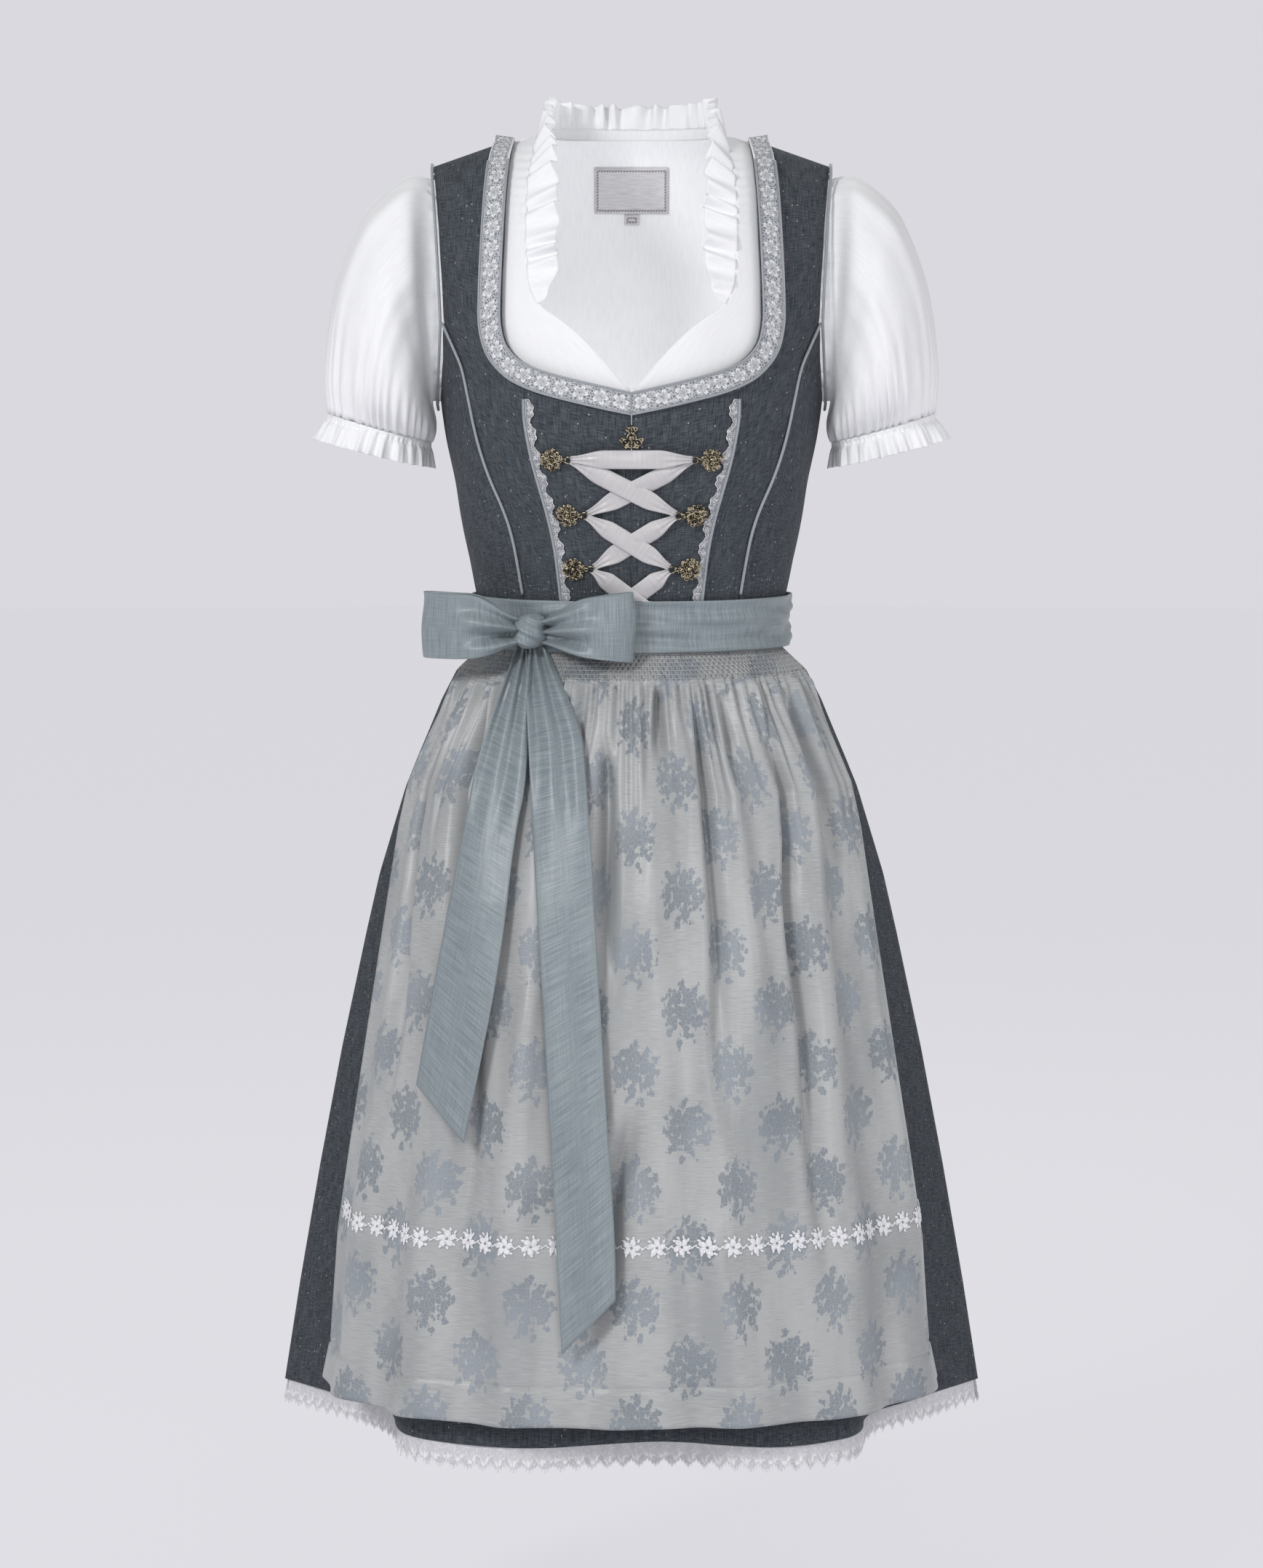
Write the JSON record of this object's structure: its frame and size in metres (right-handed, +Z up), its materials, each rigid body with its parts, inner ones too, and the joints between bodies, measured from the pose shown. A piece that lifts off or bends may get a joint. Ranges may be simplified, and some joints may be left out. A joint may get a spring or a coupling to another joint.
{
  "type": "dirndl dress",
  "caption": "Knee-length laced-front dirndl dress with puff-sleeved blouse, tied sash and flowered apron, filled out as worn with no wearer.",
  "frame": {"origin": "on the shoulder level, midway between the wearer's shoulders, where they carry the garment", "axes": "+Z up along the wearer's body, the front faces -Y, +X towards the wearer's left"},
  "size_m": [0.5888, 0.4842, 1.0968],
  "materials": {
    "chambray": "matt slubbed chambray",
    "blouse_cotton": "matt white cotton",
    "lace": "white cotton lace",
    "neck_lace": "grey band with white lace over it",
    "grey_cord": "light grey satin piping",
    "satin_ribbon": "pale satin ribbon",
    "sash_cloth": "grey-green taffeta",
    "jacquard": "silver-grey satin jacquard",
    "antique_metal": "antique, dull in the hollows",
    "label_weave": "woven satin, bare"
  },
  "bodies": {
    "root": {"apron": "jacquard", "apron_flower_trim": "blouse_cotton", "armhole_piping_left": "grey_cord", "armhole_piping_right": "grey_cord", "back_panel": "chambray", "blouse_back": "blouse_cotton", "blouse_front_left": "blouse_cotton", "blouse_front_right": "blouse_cotton", "blouse_neck_band": "blouse_cotton", "bow_knot": "sash_cloth", "bow_loop_left": "sash_cloth", "bow_loop_right": "sash_cloth", "centre_clasp": "antique_metal", "centre_front_left": "chambray", "centre_front_right": "chambray", "cuff_frill_left": "blouse_cotton", "cuff_frill_right": "blouse_cotton", "curved_seam_piping_left": "grey_cord", "curved_seam_piping_right": "grey_cord", "hem_lace_back": "lace", "hem_lace_front": "lace", "hook_bottom_left": "antique_metal", "hook_bottom_right": "antique_metal", "hook_middle_left": "antique_metal", "hook_middle_right": "antique_metal", "hook_top_left": "antique_metal", "hook_top_right": "antique_metal", "laced_seam_lace_left": "lace", "laced_seam_lace_right": "lace", "laced_seam_piping_left": "grey_cord", "laced_seam_piping_right": "grey_cord", "neck_band_left": "neck_lace", "neck_band_right": "neck_lace", "neck_frill": "blouse_cotton", "neck_label": "label_weave", "ribbon_over_1": "satin_ribbon", "ribbon_over_2": "satin_ribbon", "ribbon_over_3": "satin_ribbon", "ribbon_top_bar": "satin_ribbon", "ribbon_under_1": "satin_ribbon", "ribbon_under_2": "satin_ribbon", "ribbon_under_3": "satin_ribbon", "sash": "sash_cloth", "side_front_left": "chambray", "side_front_right": "chambray", "size_tab": "label_weave", "skirt_back": "chambray", "skirt_front": "chambray", "sleeve_left": "blouse_cotton", "sleeve_right": "blouse_cotton", "strap_front_left": "chambray", "strap_front_right": "chambray", "tie_tail_left": "sash_cloth", "tie_tail_right": "sash_cloth"}
  },
  "joints": []
}
